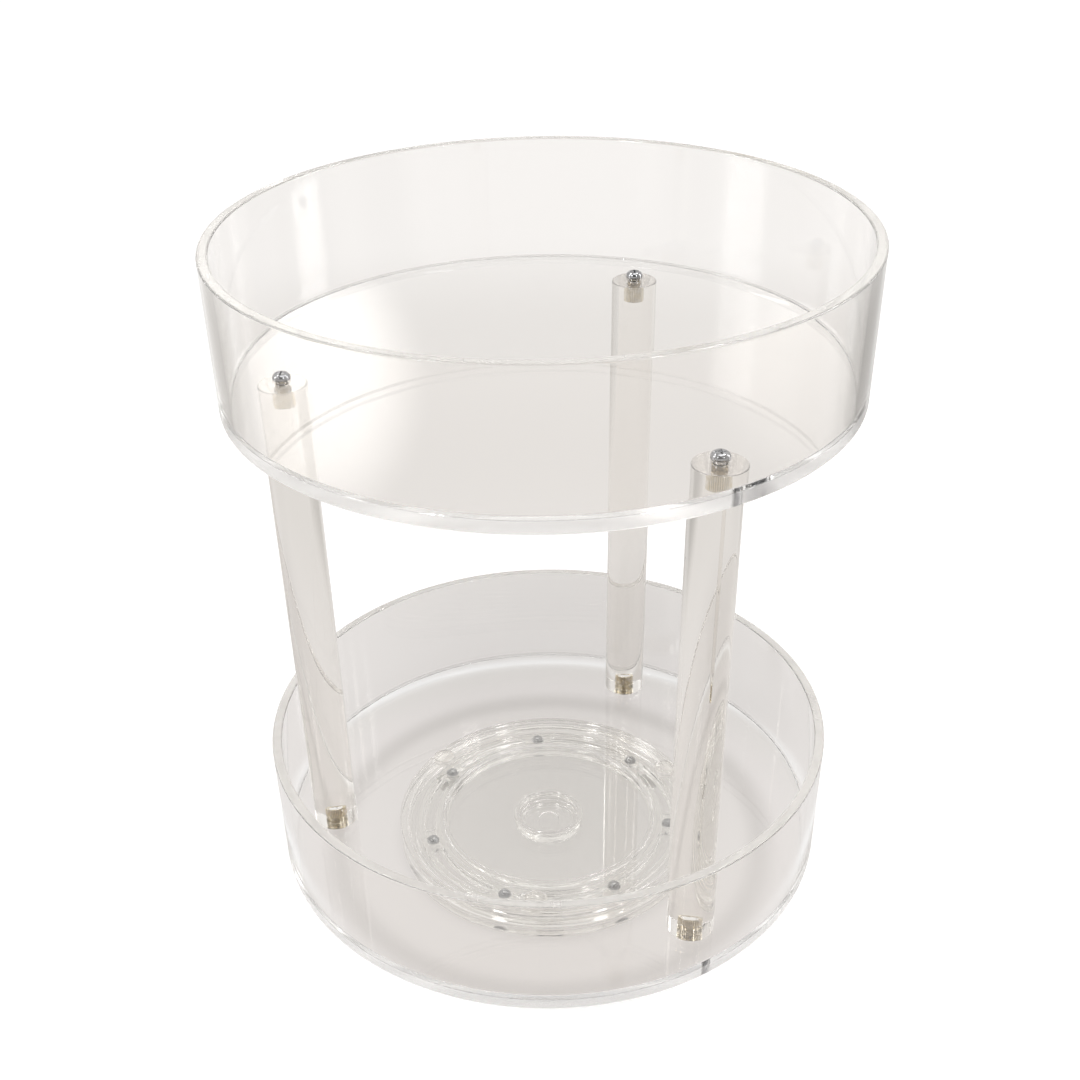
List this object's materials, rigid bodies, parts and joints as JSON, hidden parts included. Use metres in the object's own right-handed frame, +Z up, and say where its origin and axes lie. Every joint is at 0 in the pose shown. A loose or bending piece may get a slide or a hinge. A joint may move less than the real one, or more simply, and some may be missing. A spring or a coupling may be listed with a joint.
{
  "type": "lazy susan turntable",
  "caption": "Tiered clear acrylic turntable organiser: round walled trays joined by rods with screwed ends, turning on a moulded ball-bearing base.",
  "frame": {"origin": "on the spin axis, at the level of the table under the feet", "axes": "+Z up along the spin axis, -Y to the side that the picture was taken from, +X to its right"},
  "size_m": [0.28, 0.28, 0.3329],
  "materials": {
    "clear_acrylic": "clear cast acrylic sheet, tube and rod, polished",
    "insert_metal": "knurled, dull nickel over brass",
    "screw_chrome": "bright plated",
    "clear_moulding": "clear injection-moulded plastic",
    "ball_steel": "polished steel",
    "bond_pad": "clear adhesive pad",
    "foot_rubber": "translucent silicone"
  },
  "bodies": {
    "base": {"bearing_base_plate": "clear_moulding", "hub_cap": "clear_moulding", "foot_1": "foot_rubber", "foot_2": "foot_rubber", "foot_3": "foot_rubber"},
    "turntable": {"lower_tray_floor": "clear_acrylic", "lower_tray_wall": "clear_acrylic", "upper_tray_floor": "clear_acrylic", "upper_tray_wall": "clear_acrylic", "post_rear": "clear_acrylic", "post_left": "clear_acrylic", "post_right": "clear_acrylic", "lower_inserts": "insert_metal", "upper_inserts": "insert_metal", "lower_screws": "screw_chrome", "upper_screws": "screw_chrome", "bearing_top_plate": "clear_moulding", "bond_pad_1": "bond_pad", "bond_pad_2": "bond_pad", "bond_pad_3": "bond_pad"},
    "cage": {"ball_cage": "clear_moulding", "bearing_ball_1": "ball_steel", "bearing_ball_2": "ball_steel", "bearing_ball_3": "ball_steel", "bearing_ball_4": "ball_steel", "bearing_ball_5": "ball_steel", "bearing_ball_6": "ball_steel", "bearing_ball_7": "ball_steel"}
  },
  "joints": [
    {"name": "turntable_spin", "type": "hinge", "parent": "base", "child": "turntable", "pos_m": [0, 0, 0.00792], "axis": [0, 0, 1], "continuous": true},
    {"name": "cage_spin", "type": "hinge", "parent": "base", "child": "cage", "pos_m": [0, 0, 0.00792], "axis": [0, 0, 1], "continuous": true}
  ],
  "couplings": [
    {"joint": "cage_spin", "follows": "turntable_spin", "ratio": 0.5}
  ]
}
